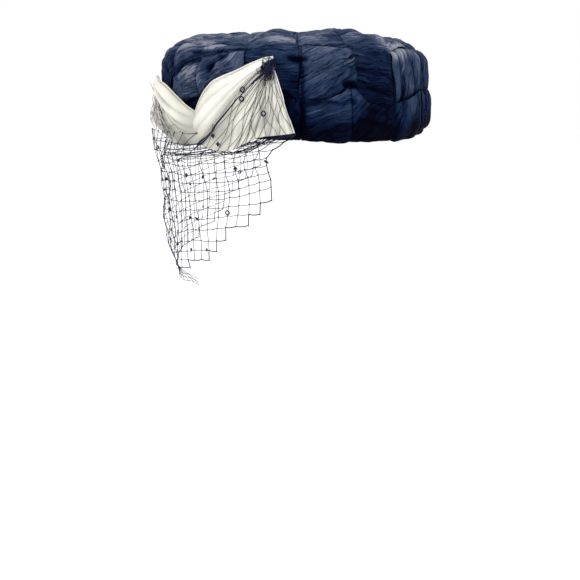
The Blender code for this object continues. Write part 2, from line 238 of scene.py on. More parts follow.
# How each crossing that shows most is dressed: upright, row, how much it puffs in millimetres,
# how light it is (its own tone, with painted shade on crossings that lie deep or turn from the
# light), and the lean of its wrinkles in degrees
CROSSINGS = {
    "upright": (4, 4, 5, 5, 6, 6, 1, 2, 0, 3, 3, 7, 7, 4, 5, 6, 1, 2, 0, 1, 2, 3),
    "row": (1, 0, 1, 0, 1, 0, 1, 1, 1, 1, 0, 1, 0, 2, 2, 2, 0, 0, 0, 2, 2, 2),
    "puff": (1.5, 1.9, 0.5, 0.7, 1.6, 2.0, 3.4, 2.6, 1.8, 0.8, 0.6, 1.4, 2.2, 1.2, 1.0, 1.8, 0.8, 0.8,
             1.0, 1.9, 2.2, 1.2),
    "tone": (0.02, 0.06, -0.22, -0.08, 0.09, 0.08, 0.22, 0.06, 0.0, -0.06, -0.1, 0.02, 0.04, 0.0, -0.02,
             0.16, -0.1, -0.1, 0.0, 0.08, 0.0, 0.04),
    "lean": (30.0, 20.0, -6.0, 35.0, 76.0, 64.0, 20.0, 35.0, 60.0, 0.0, 70.0, 66.0, 55.0, 10.0, 5.0, 40.0,
             20.0, 30.0, 40.0, 12.0, 20.0, 8.0),
}

# How far each upright strays round the hat from its even place, in degrees
UPRIGHT_SHIFT = (
    -0.6, 2.7, 0.8, 0.4, 1.4, -0.4, -0.6, 1.8, -0.8, 0.7, -1.2, 1.0, 0.3, -1.4, 0.9, -0.5, 1.3, -0.9,
)

# How far the seams between the rows stray from level round the hat, in millimetres: the lower
# and the upper seam at each angle
SEAMS = {
    "angle": (0.0, 15.0, 24.0, 28.0, 31.0, 36.0, 43.0, 50.0, 58.0, 66.0, 74.0, 82.0, 87.0, 95.0, 101.0,
              105.0, 107.0, 112.0, 120.0, 126.0, 133.0, 142.0, 155.0, 180.0, 225.0, 270.0, 315.0, 360.0),
    "lower": (0.0, 0.0, -6.0, -8.0, -9.0, -9.0, -6.0, -2.0, 4.0, 4.0, 1.0, -3.0, -9.0, -7.0, -4.0, 2.0,
              0.0, -7.0, -10.0, -8.0, -5.0, -1.0, 2.0, -2.0, 2.0, -1.5, 1.5, 0.0),
    "upper": (0.0, -6.0, -18.0, -21.0, -18.5, -14.5, -11.5, -9.0, -6.5, -5.0, -3.0, -1.0, -1.0, -2.0,
              -2.0, -3.0, -5.0, -8.0, -7.0, -5.0, -1.0, 1.0, 0.0, 1.0, -2.0, 1.5, -2.0, 0.0),
}

# Sharp creases and gaps in the weave: angle and run of both ends, depth and half width in metres
CREASES = {
    "angle": (29.0, 28.5, 31.5, 37.0, 52.0, 55.0, 42.5, 52.0, 58.5, 44.0, 48.0, 54.0, 59.5, 65.5, 69.0,
              83.0, 87.2, 87.0, 88.0, 95.0, 101.0, 102.5, 108.0, 106.0, 106.0, 127.5, 135.0, 98.0, 112.0,
              93.0, 140.0, 12.0, 148.0, 20.0),
    "run": (0.0185, 0.029, 0.0365, 0.0415, 0.0385, 0.0435, 0.049, 0.05, 0.05, 0.053, 0.0555, 0.059,
            0.0555, 0.0585, 0.0645, 0.0447, 0.045, 0.024, 0.018, 0.0208, 0.0195, 0.0305, 0.011, 0.039,
            0.03, 0.056, 0.052, 0.066, 0.017, 0.044, 0.025, 0.056, 0.048, 0.064),
    "to_angle": (28.5, 31.5, 37.0, 46.0, 55.0, 60.0, 52.0, 58.5, 68.0, 48.0, 54.0, 59.5, 65.5, 69.0, 72.0,
                 88.5, 87.0, 87.0, 95.0, 101.0, 106.5, 106.5, 124.0, 122.0, 121.0, 130.0, 141.0, 128.0,
                 121.0, 102.0, 136.0, 36.0, 150.0, 44.0),
    "to_run": (0.029, 0.0365, 0.0415, 0.045, 0.0435, 0.0465, 0.05, 0.05, 0.0512, 0.0555, 0.059, 0.0555,
               0.0585, 0.0645, 0.072, 0.044, 0.024, 0.0045, 0.0208, 0.0195, 0.0215, 0.0298, 0.006, 0.037,
               0.026, 0.012, 0.018, 0.07, 0.013, 0.05, 0.006, 0.064, 0.015, 0.056),
    "depth": (0.0028, 0.003, 0.003, 0.0022, 0.0028, 0.002, 0.0018, 0.0018, 0.0012, 0.0014, 0.0018, 0.0014,
              0.0012, 0.0016, 0.0014, 0.0032, 0.0015, 0.0012, 0.0014, 0.0012, 0.001, 0.0032, 0.001,
              0.0008, 0.0009, 0.0012, 0.001, 0.0016, 0.0008, 0.0008, 0.0008, 0.0015, 0.0014, 0.0012),
    "wide": (0.0017, 0.0018, 0.0017, 0.0014, 0.0014, 0.0011, 0.001, 0.001, 0.0009, 0.0008, 0.001, 0.0008,
             0.0008, 0.001, 0.001, 0.0013, 0.001, 0.001, 0.0009, 0.0008, 0.0008, 0.0014, 0.0011, 0.001,
             0.001, 0.0012, 0.001, 0.0012, 0.001, 0.0008, 0.001, 0.0012, 0.0012, 0.001),
}

# Lighter, darker, sunken and raised patches: angle and run of the middle, reach to the sides in
# degrees and up in metres, how much lighter it is (painted sheen with some fading where lighter,
# painted shade where darker) and how far it stands out in metres
PATCHES = {
    "angle": (53.0, 130.0, 43.0, 76.0, 51.0, 42.0, 84.0, 53.0, 77.0, 112.0, 94.0, 36.0, 116.0, 25.0),
    "run": (0.0537, 0.0525, 0.036, 0.06, 0.038, 0.019, 0.022, 0.068, 0.073, 0.07, 0.068, 0.055, 0.062,
            0.042),
    "reach": (7.0, 7.5, 6.0, 8.0, 3.2, 6.0, 5.0, 14.0, 6.0, 7.0, 7.0, 8.0, 5.0, 6.0),
    "rise": (0.0036, 0.0075, 0.007, 0.004, 0.006, 0.005, 0.017, 0.014, 0.006, 0.007, 0.007, 0.006, 0.004,
             0.009),
    "tone": (0.36, 0.36, 0.1, 0.14, -0.24, -0.14, -0.16, 0.05, 0.0, 0.0, 0.0, 0.16, -0.1, -0.14),
    "out": (0.0004, 0.0, 0.0008, 0.0, -0.0008, 0.0, 0.0, -0.0022, 0.0012, 0.0012, -0.0006, 0.0004, 0.0,
            -0.0006),
}


def soft_noise(x, y, seed):
    """Smooth noise from -1 to 1: random values at the corners of a square lattice, blended
    between the corners with an eased step in both directions."""
    lattice = np.random.default_rng(seed).uniform(-1.0, 1.0, (97, 97))
    column, row = np.floor(x).astype(int), np.floor(y).astype(int)
    part_x, part_y = x - column, y - row
    ease_x = part_x * part_x * (3.0 - 2.0 * part_x)
    ease_y = part_y * part_y * (3.0 - 2.0 * part_y)
    left, right, low, high = column % 97, (column + 1) % 97, row % 97, (row + 1) % 97
    near = lattice[left, low] * (1 - ease_x) + lattice[right, low] * ease_x
    far = lattice[left, high] * (1 - ease_x) + lattice[right, high] * ease_x
    return near * (1 - ease_y) + far * ease_y


def facets(x, y, seed):
    """Flat-topped facets, from 0 at their borders to 1 inside: each unit square holds a point at
    random, and the value is how much further off the second nearest point is than the nearest."""
    shift = np.random.default_rng(seed).uniform(0.0, 1.0, (2, 61, 61))
    column, row = np.floor(x).astype(int), np.floor(y).astype(int)
    reaches = []
    for step in range(9):
        beside, above = column + step // 3 - 1, row + step % 3 - 1
        reaches.append(np.hypot(
            beside + shift[0, beside % 61, above % 61] - x,
            above + shift[1, beside % 61, above % 61] - y,
        ))
    reaches = np.sort(np.stack(reaches), axis=0)
    return np.clip(2.6 * (reaches[1] - reaches[0]), 0.0, 1.0)


def crease_map(x, y, lean, seed):
    """Flat place measured along and across the wrinkles: bent by slow noise, then turned."""
    bend_x = x + 0.0026 * soft_noise(x / 0.017, y / 0.017, seed)
    bend_y = y + 0.0026 * soft_noise(x / 0.017, y / 0.017, seed + 1)
    bend_x = bend_x + 0.0008 * soft_noise(x / 0.005, y / 0.005, seed + 3)
    bend_y = bend_y + 0.0008 * soft_noise(x / 0.005, y / 0.005, seed + 2)
    turn = np.radians(lean)
    return bend_x * np.cos(turn) + bend_y * np.sin(turn), bend_y * np.cos(turn) - bend_x * np.sin(turn)


def crinkle(along, beside, seed):
    """Height of crinkled ribbon in metres: slow swells, long puffed facets with sharp creases
    between them, and smaller facets turned over, whose borders stand up as ridges."""
    swell = 0.0009 * soft_noise(along / 0.026, beside / 0.011, seed)
    large = 0.00060 * (facets(along / 0.034, beside / 0.0105, seed + 1) - 0.6)
    small = 0.00020 * (0.6 - facets(along / 0.020, beside / 0.0050, seed + 2))
    return swell + large + small


def pick_crossing(upright, row):
    """Puff, tone and wrinkle lean of one crossing: from the table, or drawn by its place."""
    draw = np.random.default_rng(1031 + upright * 7 + row)
    puff, tone, lean = draw.uniform(1.0, 2.9), draw.uniform(-0.12, 0.12), draw.uniform(-25.0, 60.0)
    for number in range(len(CROSSINGS["upright"])):
        if (CROSSINGS["upright"][number], CROSSINGS["row"][number]) == (upright, row):
            return CROSSINGS["puff"][number], CROSSINGS["tone"][number], CROSSINGS["lean"][number]
    return puff, tone, lean


def pinch(angle, run):
    """How deep the weave is creased at each place: each crease is flat along its line and falls
    off steeply beside it, and is shallower at its ends."""
    depth = np.zeros(run.shape)
    reach = np.radians(1.0) * CROWN_RADIUS
    for from_angle, from_run, to_angle, to_run, deep, wide in zip(*CREASES.values()):
        off = ((angle - from_angle + 180.0) % 360.0 - 180.0) * reach
        up = run - from_run
        line = np.array([(to_angle - from_angle) * reach, to_run - from_run])
        share = np.clip((off * line[0] + up * line[1]) / (line @ line), 0.0, 1.0)
        apart = np.hypot(off - share * line[0], up - share * line[1])
        crease = np.exp(-(apart / (1.3 * wide)) ** 2.4) * (0.35 + 0.65 * np.sin(np.pi * (0.15 + 0.7 * share)))
        depth = np.maximum(depth, deep * crease)
    return depth


def patch_sheen_and_shade(angle, run):
    """How much lighter the ribbon is at each place, with painted sheen and some fading where it is
    lighter and painted shade where it is darker, and how far it stands out: each patch is flat in
    its middle and fades at its border."""
    tone, out = np.zeros(run.shape), np.zeros(run.shape)
    for middle, level, reach, rise, lighter, lifted in zip(*PATCHES.values()):
        apart = (((angle - middle + 180.0) % 360.0 - 180.0) / reach) ** 2 + ((run - level) / rise) ** 2
        share = np.exp(-apart ** 2)
        tone, out = tone + lighter * share, out + lifted * share
    return tone, out


def seam_runs(angle):
    """Run of the rim, of the two seams between the rows and of the tip's edge at each angle."""
    around = np.mod(angle, 360.0)
    ring = 9.0 + 4.5 * np.cos(np.radians(angle)), 9.0 + 4.5 * np.sin(np.radians(angle))
    runs = [np.zeros(around.shape)]
    for number, seam in enumerate(("lower", "upper")):
        level = (number + 1) * ROW_PITCH + 0.001 * np.interp(around, SEAMS["angle"], SEAMS[seam])
        fine = 0.0005 * soft_noise(4 * ring[0], 4 * ring[1], 90 + number)
        runs.append(level + 0.0010 * soft_noise(*ring, 88 + number) + fine)
    return np.stack([*runs, np.full(around.shape, SIDE_RUN)])


def row_of(angle, run):
    """Which row a place on the side is in, counted up from the rim with parts of a row."""
    seams = seam_runs(angle)
    rows = run / seams[1]
    for row in (1, 2):
        rows = np.where(run > seams[row], row + (run - seams[row]) / (seams[row + 1] - seams[row]), rows)
    return rows


def ribbon_lift(over, across, along, puff):
    """Height of a ribbon at a crossing, and how far it sinks from 0 to 1: over it swells, with
    its two edges left standing and its two ends falling away under the next ribbon."""
    end = 1.0 - np.abs(2.0 * along - 1.0) ** 6.0
    cushion = end * (1.0 - 0.55 * np.abs(2.0 * across - 1.0) ** 4.0)
    above = np.tanh(4.5 * over)
    sunk = 1.0 - np.clip(above, 0.0, 1.0) * np.clip(1.6 * end, 0.0, 1.0)
    return WEAVE_STEP * above + np.clip(above, 0.0, 1.0) * puff * np.clip(cushion, 0.0, 1.0), sunk


# Layers of the cloth's creases: the map they lie on and its stretch, the texture and its scale,
# the band of values that a crease spans, how dark it is inside and how light beyond, its depth.
# In the folds and edges the darkness inside is painted shade and the lightness beyond painted
# highlights on the crests; the noise layers mottle the tone
CREASE_LAYERS = {
    "map": ("crease", "crease", "crease", "crease", "crease", "cloth", "cloth"),
    "stretch": (2.2, 2.6, 3.0, 3.4, 4.0, 1.0, 1.0),
    "texture": ("folds", "folds", "folds", "folds", "edges", "noise", "noise"),
    "scale": (17.0, 34.0, 62.0, 27.0, 50.0, 85.0, 1100.0),
    "band": ((0.0, 0.16), (0.0, 0.22), (0.0, 0.40), (0.80, 1.0), (0.0, 0.09), (0.25, 0.75), (0.3, 0.7)),
    "inside": (-0.22, -0.17, -0.08, -0.01, -0.16, -0.1, -0.03),
    "beyond": (0.03, 0.02, 0.03, 0.2, 0.01, 0.1, 0.03),
    "rise": (0.0016, 0.0009, 0.0004, 0.0005, 0.0006, 0.0001, 0.0001),
}


def crease_layer(tree, place, texture, scale, band):
    """One texture as a relief from 0 to 1, and eased over its band to run from 0 inside a crease
    to 1 beyond it. Folds are triangle waves bent by noise, and edges the borders of cells; both
    come and go with a slower noise."""
    inputs = {"Vector": place, "Scale": scale}
    if texture == "noise":
        inputs.update({"Detail": 5.0, "Roughness": 0.65})
        value = add_node(tree, "TexNoise", inputs).outputs["Fac"]
    elif texture == "edges":
        value = add_node(tree, "TexVoronoi", inputs, feature="DISTANCE_TO_EDGE").outputs["Distance"]
    else:
        inputs.update({"Distortion": 7.0, "Detail": 4.0, "Detail Scale": 1.0, "Detail Roughness": 0.6})
        value = add_node(tree, "TexWave", inputs, bands_direction="Y", wave_profile="TRI").outputs["Fac"]
    span = {"Value": value, "From Min": band[0], "From Max": band[1]}
    eased = add_node(tree, "MapRange", span, interpolation_type="SMOOTHSTEP").outputs["Result"]
    if texture == "noise":
        return eased, eased
    patches = add_node(tree, "TexNoise", {"Vector": place, "Scale": 1.8 * scale}).outputs["Fac"]
    mask = add_node(tree, "MapRange", {"Value": patches, "From Min": 0.40, "From Max": 0.60})
    absent = 0.5, float(band[0] == 0.0)
    shown = [
        add_node(tree, "Mix", {"Factor": mask.outputs["Result"], "A": gone, "B": height}).outputs["Result"]
        for gone, height in zip(absent, (value, eased))
    ]
    return shown


def add_ramp(tree, value, stops):
    """A colour for each value from 0 to 1, blended between stops of place and colour."""
    ramp = add_node(tree, "ValToRGB", {"Fac": value})
    first, *middle, last = stops
    for element, (position, colour) in zip(ramp.color_ramp.elements, (first, last)):
        element.position, element.color = position, (*colour, 1.0)
    for position, colour in middle:
        ramp.color_ramp.elements.new(position).color = (*colour, 1.0)
    return ramp.outputs["Color"]


# Navy from the deepest painted shade up to a grey that stands for painted sheen and some fading
RIBBON_COLOURS = (
    (0.0, (0.0005, 0.0006, 0.0045)),
    (0.25, (0.0018, 0.0048, 0.022)),
    (0.5, (0.010, 0.022, 0.056)),
    (0.75, (0.048, 0.066, 0.118)),
    (1.0, (0.22, 0.23, 0.28)),
)


def ribbon_cloth(name, shift):
    """Crinkled navy ribbon: its tone attribute with layers of dark and light creases, painted shade
    and highlights, turned by a ramp into navy that greys where it is lightest, with painted sheen
    and some fading, and the same creases in relief."""
    material, tree, shader = new_material(name, (0.02, 0.03, 0.07), 0.7)
    shader.inputs["Specular IOR Level"].default_value = 0.015
    total = add_node(tree, "Attribute", {}, attribute_name="tone").outputs["Fac"]
    normal = None
    for source, stretch, texture, scale, band, inside, beyond, rise in zip(*CREASE_LAYERS.values()):
        place = add_node(tree, "UVMap", {}, uv_map=source).outputs["UV"]
        drawn = add_node(tree, "Mapping", {
            "Vector": place,
            "Location": (shift, shift * 0.7 + scale * 0.001, 0.0),
            "Scale": (1.0, stretch, 1.0),
        }).outputs["Vector"]
        height, layer = crease_layer(tree, drawn, texture, scale, band)
        # Painted shade inside each fold or edge and painted highlight beyond it; noise layers mottle the tone
        part = add_node(tree, "Math", {0: layer, 1: beyond - inside, 2: inside}, operation="MULTIPLY_ADD")
        both = add_node(tree, "Math", {0: part.outputs["Value"], 1: total}, operation="ADD")
        total = both.outputs["Value"]
        relief = add_node(tree, "Bump", {"Strength": 1.0, "Distance": rise, "Height": height})
        if normal:
            tree.links.new(normal, relief.inputs["Normal"])
        normal = relief.outputs["Normal"]
    tree.links.new(normal, shader.inputs["Normal"])
    tree.links.new(add_ramp(tree, total, RIBBON_COLOURS), shader.inputs["Base Color"])
    return material


UPRIGHT_CLOTH = ribbon_cloth("navy_ribbon_upright", 0.0)
HOOP_CLOTH = ribbon_cloth("navy_ribbon_hoop", 0.37)
TIP_CLOTH = ribbon_cloth("navy_ribbon_tip", 0.71)
# Painted shade in the wrinkles' valleys and painted light on their ridges, per metre of height
WRINKLE_SHADING = 150.0
# Tone up the side by its share of the rise: painted shade towards the rim and painted light from above
# towards the shoulder, with some fading on top
SHADE_AND_FADE_RISE = (-0.1, 0.06, 0.12, 0.18, 0.33, 0.50, 0.75, 1.0)
SHADE_AND_FADE_TONE = (-0.06, -0.03, 0.19, 0.31, 0.44, 0.53, 0.66, 0.68)
# Painted shade in the creases and gaps of the weave, per metre of their depth
PINCH_SHADE = 230.0
# Painted shade where a ribbon sinks under the next one
SEAM_SHADE = 0.20

# Puff in metres, tone and lean of every crossing, by upright and row
DRESS = np.array([
    [pick_crossing(upright, row) for row in range(HOOP_COUNT)]
    for upright in range(UPRIGHT_COUNT)
])
DRESS[..., 0] *= 0.001


def side_shade(angle, run, sunk):
    """The side is darkest at the rim and lightens to the shoulder: painted shade low down and
    painted light from above, with some fading on top. It has painted shade where it sinks under
    the next ribbon, more in some places than in others."""
    deep = SEAM_SHADE * np.clip(0.55 + 0.9 * soft_noise(angle / 9.0, run / 0.016, 77), 0.1, 1.2)
    return np.interp(run / SIDE_RUN, SHADE_AND_FADE_RISE, SHADE_AND_FADE_TONE) - deep * sunk


def dress_side(angle, run, over, across, inside, puff, tone, wrinkles):
    """Lift and shade of a ribbon of the side, from where it is over or under and its wrinkles.
    The creases, the patches and the darkness at its ends are added to both. The shade is painted:
    shade in creases, in wrinkle valleys and at its ends, light on wrinkle ridges, and painted sheen
    and shade on the patches."""
    dent = pinch(angle, run)
    patch_tone, out = patch_sheen_and_shade(angle, run)
    lift, sunk = ribbon_lift(over, across, inside, puff)
    lift = lift + out - dent + wrinkles * np.clip(0.35 + 0.65 * over, 0.2, 1.0)
    # Painted shade and light: seams, patches, wrinkle heights and creases
    shade = side_shade(angle, run, sunk) + patch_tone + tone * np.clip(3.0 * over, 0.0, 1.0)
    shade = shade + wrinkles * WRINKLE_SHADING - dent * PINCH_SHADE
    return np.maximum(lift, RIBBON_WALL - 0.8 * BASE_DEPTH), shade


def sew_ribbon(node, points, grain, creases, shade, cloth, ring=False):
    """Puts one ribbon in place on the hat, with its crease map: the place of each of its points
    along and across its wrinkles."""
    piece = lay_cloth(f"ribbon_{node}", points, grain, shade, cloth, RIBBON_WALL, ring=ring)
    mesh = piece.data
    corners = np.empty(len(mesh.loops), dtype=np.int32)
    mesh.loops.foreach_get("vertex_index", corners)
    places = np.stack([along.reshape(-1) for along in creases], axis=-1)[corners]
    mesh.uv_layers.new(name="crease").data.foreach_set("uv", places.astype(np.float32).reshape(-1))
    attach(piece, "root")
    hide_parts(node)


def weave_upright(number):
    """One upright ribbon. Its over and under follow a sine of the run with one half wave to a
    row, its edges wander, and it ends tucked in under the rim and under the tip."""
    centre = UPRIGHT_START + number * COLUMN_PITCH + UPRIGHT_SHIFT[number]
    half = RIBBON_COVER * COLUMN_PITCH / 2
    first, last = -HEM_TURN * math.pi - 0.004, SIDE_RUN + 0.004
    share = np.linspace(0.0, 1.0, int(2 * np.radians(half) * CROWN_RADIUS / GRID_STEP) + 1)
    runs = np.linspace(first, last, int((last - first) / GRID_STEP) + 1)
    across, run = np.meshgrid(share, runs, indexing="ij")
    flat_x = (across - 0.5) * 2 * np.radians(half) * CROWN_RADIUS
    edge = 1.2 * soft_noise(run / 0.024 + across, np.full(run.shape, number * 3.7), 50 + number)
    edge = edge + 0.5 * soft_noise(run / 0.006 + 3.0 * across, np.full(run.shape, number * 3.7), 70 + number)
    angle = centre + (across - 0.5) * 2 * half + edge
    rows = row_of(angle, run)
    over = np.sin(np.pi * rows) * (1.0 if number % 2 else -1.0)
    over = np.where(rows < 0.0, np.abs(over) * 0.2 + 0.3, over)
    over = np.where(rows > HOOP_COUNT, -0.3, over)
    row = np.clip(np.floor(rows).astype(int), 0, HOOP_COUNT - 1)
    puff, tone, lean = np.moveaxis(DRESS[number, row], -1, 0)
    along, beside = crease_map(flat_x, run, lean, 100 + number)
    wrinkles = crinkle(along, beside, 130 + number)
    lift, shade = dress_side(angle, run, over, across, np.clip(rows - row, 0.0, 1.0), puff, tone, wrinkles)
    grain = np.stack([flat_x + number * 0.05, run], axis=-1)
    creases = along + number * 0.05, beside
    points = on_crown(angle, run, lift)
    sew_ribbon(f"upright_{number + 1:02d}", points, grain, creases, shade, UPRIGHT_CLOTH)


def weave_hoop(row):
    """One ribbon round the hat, a closed ring. Its over and under follow a sine of the angle
    with one half wave to an upright, the other way up from the uprights' own."""
    margin = (1.0 - RIBBON_COVER) / 2
    first = margin if row else -0.15
    share = np.linspace(first, 1.0 - margin, int((1.0 - margin - first) * ROW_PITCH / GRID_STEP) + 1)
    turns = np.linspace(0.0, 360.0, int(2 * math.pi * CROWN_RADIUS / GRID_STEP) + 1)[:-1]
    angle, inside = np.meshgrid(turns, share, indexing="ij")
    seams = seam_runs(angle)
    run = seams[row] + inside * (seams[row + 1] - seams[row])
    uprights = np.arange(-1, UPRIGHT_COUNT + 1)
    middles = UPRIGHT_START + COLUMN_PITCH * uprights + np.take(UPRIGHT_SHIFT, uprights, mode="wrap")
    columns = (np.interp(angle, middles, uprights) + 0.5) % UPRIGHT_COUNT
    over = np.sin(np.pi * columns) * (1.0 if row % 2 == 0 else -1.0)
    column = np.floor(columns).astype(int) % UPRIGHT_COUNT
    puff, tone, lean = np.moveaxis(DRESS[column, row], -1, 0)
    flat_x = np.radians(angle) * CROWN_RADIUS
    column_middle = (column + 0.5) * np.radians(COLUMN_PITCH) * CROWN_RADIUS
    along, beside = crease_map(flat_x - column_middle, run, lean, 200 + row)
    along = along + column * 0.05
    wrinkles = crinkle(along, beside, 230 + row)
    across, part = np.clip(inside, 0.0, 1.0), columns - np.floor(columns)
    lift, shade = dress_side(angle, run, over, across, part, puff, tone, wrinkles)
    grain = np.stack([flat_x, run], axis=-1)
    points = on_crown(angle, run, lift)
    sew_ribbon(f"hoop_{row + 1}", points, grain, (along, beside), shade, HOOP_CLOTH, ring=True)


for number in range(UPRIGHT_COUNT):
    weave_upright(number)
for row in range(HOOP_COUNT):
    weave_hoop(row)

# Tip: the flat top of the crown, four ribbons woven through four, their ends tucked in under
# the ribbons of the side all round.
TIP_RIBBONS = 4
TIP_DOME = 0.0015
TIP_TUCK = 0.0015


def weave_tip(number, lengthwise):
    """One ribbon of the tip: straight, cut to the round of the tip at both ends, with its over
    and under a sine of the way along it, on a tip that rises a little to its middle."""
    reach = TIP_RADIUS + TIP_TUCK
    pitch = 2.0 * TIP_RADIUS / TIP_RIBBONS
    centre = -TIP_RADIUS + (number + 0.5) * pitch
    side = centre + np.linspace(-0.5, 0.5, int(pitch / GRID_STEP) + 1) * pitch * RIBBON_COVER
    side = np.clip(side, -reach * 0.985, reach * 0.985)
    along = np.linspace(-1.0, 1.0, int(2 * reach / GRID_STEP) + 1)
    beside, share = np.meshgrid(side, along, indexing="ij")
    run = share * np.sqrt(reach ** 2 - beside ** 2)
    crossing = (run + TIP_RADIUS) / pitch
    flip = 1.0 if (number % 2 == 0) != lengthwise else -1.0
    over = np.sin(np.pi * crossing) * flip
    inside = crossing - np.floor(crossing)
    draw = np.random.default_rng(300 + number * 2 + lengthwise)
    lift, sunk = ribbon_lift(over, (beside - centre) / pitch + 0.5, inside, draw.uniform(0.0012, 0.0022))
    crease_x, crease_y = crease_map(beside, run, draw.uniform(-30.0, 50.0), 320 + number * 2 + lengthwise)
    wrinkles = crinkle(crease_x, crease_y, 340 + number * 2 + lengthwise)
    lift = lift + wrinkles * np.clip(0.35 + 0.65 * over, 0.2, 1.0)
    x, y = (beside, run) if lengthwise else (run, beside)
    far = np.hypot(beside, run) / TIP_RADIUS
    tuck = np.clip((far - 0.93) / 0.09, 0.0, 1.0) ** 2
    drop = MIDDLE_DROP + (settle(np.degrees(np.arctan2(x, -y))) - MIDDLE_DROP) * np.clip(far, 0.0, 1.0) ** 2
    z = CROWN_HEIGHT + TIP_DOME * (1.0 - far ** 2) + lift * (1.0 - tuck) - 0.0012 * tuck - drop
    points = np.stack([x, y - CROWN_LEAN, z], axis=-1)
    if not lengthwise:
        points = points[:, ::-1]
        beside, run, wrinkles, over = beside[:, ::-1], run[:, ::-1], wrinkles[:, ::-1], over[:, ::-1]
        crease_x, crease_y, sunk = crease_x[:, ::-1], crease_y[:, ::-1], sunk[:, ::-1]
    # Painted light: the tip takes the lightest tone of the side, as lit from above, with some fading, plus
    # painted shade in its wrinkles and where it sinks under
    shade = SHADE_AND_FADE_TONE[-1] - 0.04 + draw.uniform(-0.1, 0.1) * np.clip(over, 0.0, 1.0) + wrinkles * WRINKLE_SHADING
    shade = shade - SEAM_SHADE * sunk
    grain = np.stack([beside, run], axis=-1)
    node = f"tip_{'lengthwise' if lengthwise else 'crosswise'}_{number + 1}"
    sew_ribbon(node, points, grain, (crease_x, crease_y), shade, TIP_CLOTH)


for number in range(TIP_RIBBONS):
    weave_tip(number, True)
    weave_tip(number, False)

# Bow: two wings of heavy cream satin, pinched together low on the wearer's left front. Each
# wing is a band folded over along its top edge, lying on a pleated fan that opens downwards.
BOW_ANGLE = 45.0
SATIN_WALL = 0.0007
BOW_SEAT = 0.0036
FAN_STAND_OUT = 0.0062
FOLD_BULGE = 0.0052
RISING = (OUTLINE_RUN > 0.0) & (OUTLINE_RUN < SIDE_RUN)

# Edges of each wing as shares of its reach round the hat and of its rise up the side: the fold
# along the top, the hem of the folded band, and the foot of the fan, from the pinch outwards
WINGS = {
    "left": {
        "side": 1.0, "reach": 31.0, "rise": 0.0430, "seed": 3, "tip": (1.03, 0.97),
        "top_reach": (0.00, 0.10, 0.20, 0.32, 0.45, 0.60, 0.78, 0.95, 1.05),
        "top_rise": (0.20, 0.42, 0.57, 0.69, 0.76, 0.83, 0.93, 1.01, 1.03),
        "hem_reach": (-0.02, 0.14, 0.30, 0.46, 0.62, 0.80, 0.94),
        "hem_rise": (-0.16, -0.06, 0.12, 0.32, 0.54, 0.76, 0.90),
        "foot_reach": (-0.04, 0.18, 0.36, 0.54, 0.70, 0.88, 1.08, 1.25),
        "foot_rise": (-0.14, -0.20, -0.24, -0.23, -0.12, -0.02, 0.00, 0.03),
    },
    "right": {
        "side": -1.0, "reach": 34.0, "rise": 0.0380, "seed": 8, "tip": (1.05, 0.90),
        "top_reach": (-0.03, 0.10, 0.24, 0.38, 0.52, 0.68, 0.84, 0.98, 1.08),
        "top_rise": (0.34, 0.42, 0.54, 0.65, 0.75, 0.82, 0.87, 0.94, 0.95),
        "hem_reach": (-0.04, 0.14, 0.30, 0.46, 0.62, 0.80, 0.96),
        "hem_rise": (-0.10, -0.02, 0.12, 0.28, 0.46, 0.64, 0.80),
        "foot_reach": (-0.06, 0.14, 0.28, 0.42, 0.58, 0.76, 0.95, 1.10),
        "foot_rise": (-0.16, -0.24, -0.22, -0.14, -0.04, 0.06, 0.18, 0.30),
    },
}


def smooth_edge(values, share):
    """A smooth curve through evenly spaced values: straight runs between them, then blurred
    over the width of one gap, with both ends kept."""
    fine = np.linspace(0.0, 1.0, 400)
    curve = np.interp(fine, np.linspace(0.0, 1.0, len(values)), values)
    width = 400 // (len(values) - 1)
    ends = np.concatenate([2 * curve[0] - curve[width:0:-1], curve, 2 * curve[-1] - curve[-2:-width - 2:-1]])
    blur = np.hanning(width + 2)[1:-1]
    ends = np.convolve(ends, blur / blur.sum(), "same")[width:-width]
    return np.interp(share, fine, ends)


def on_wing(wing, share_reach, share_rise, stand_out):
    """Points of a wing at shares of its reach round the hat and of its rise up the side,
    standing out from the woven side. Below the rim the side is taken straight down."""
    height = wing["rise"] * share_rise
    radius = np.interp(height, OUTLINE_HEIGHT[RISING], OUTLINE_RADIUS[RISING]) + BOW_SEAT + stand_out
    turn = np.radians(BOW_ANGLE + wing["side"] * wing["reach"] * share_reach)
    lean = CROWN_LEAN * np.clip(height, 0.0, None) / CROWN_HEIGHT
    return np.stack([radius * np.sin(turn), -radius * np.cos(turn) - lean, height], axis=-1)


# Cream from deep painted shade in the pleats up to the near white of painted highlights
SATIN_COLOURS = ((0.0, (0.20, 0.20, 0.18)), (0.55, (0.64, 0.625, 0.55)), (1.0, (0.85, 0.84, 0.80)))


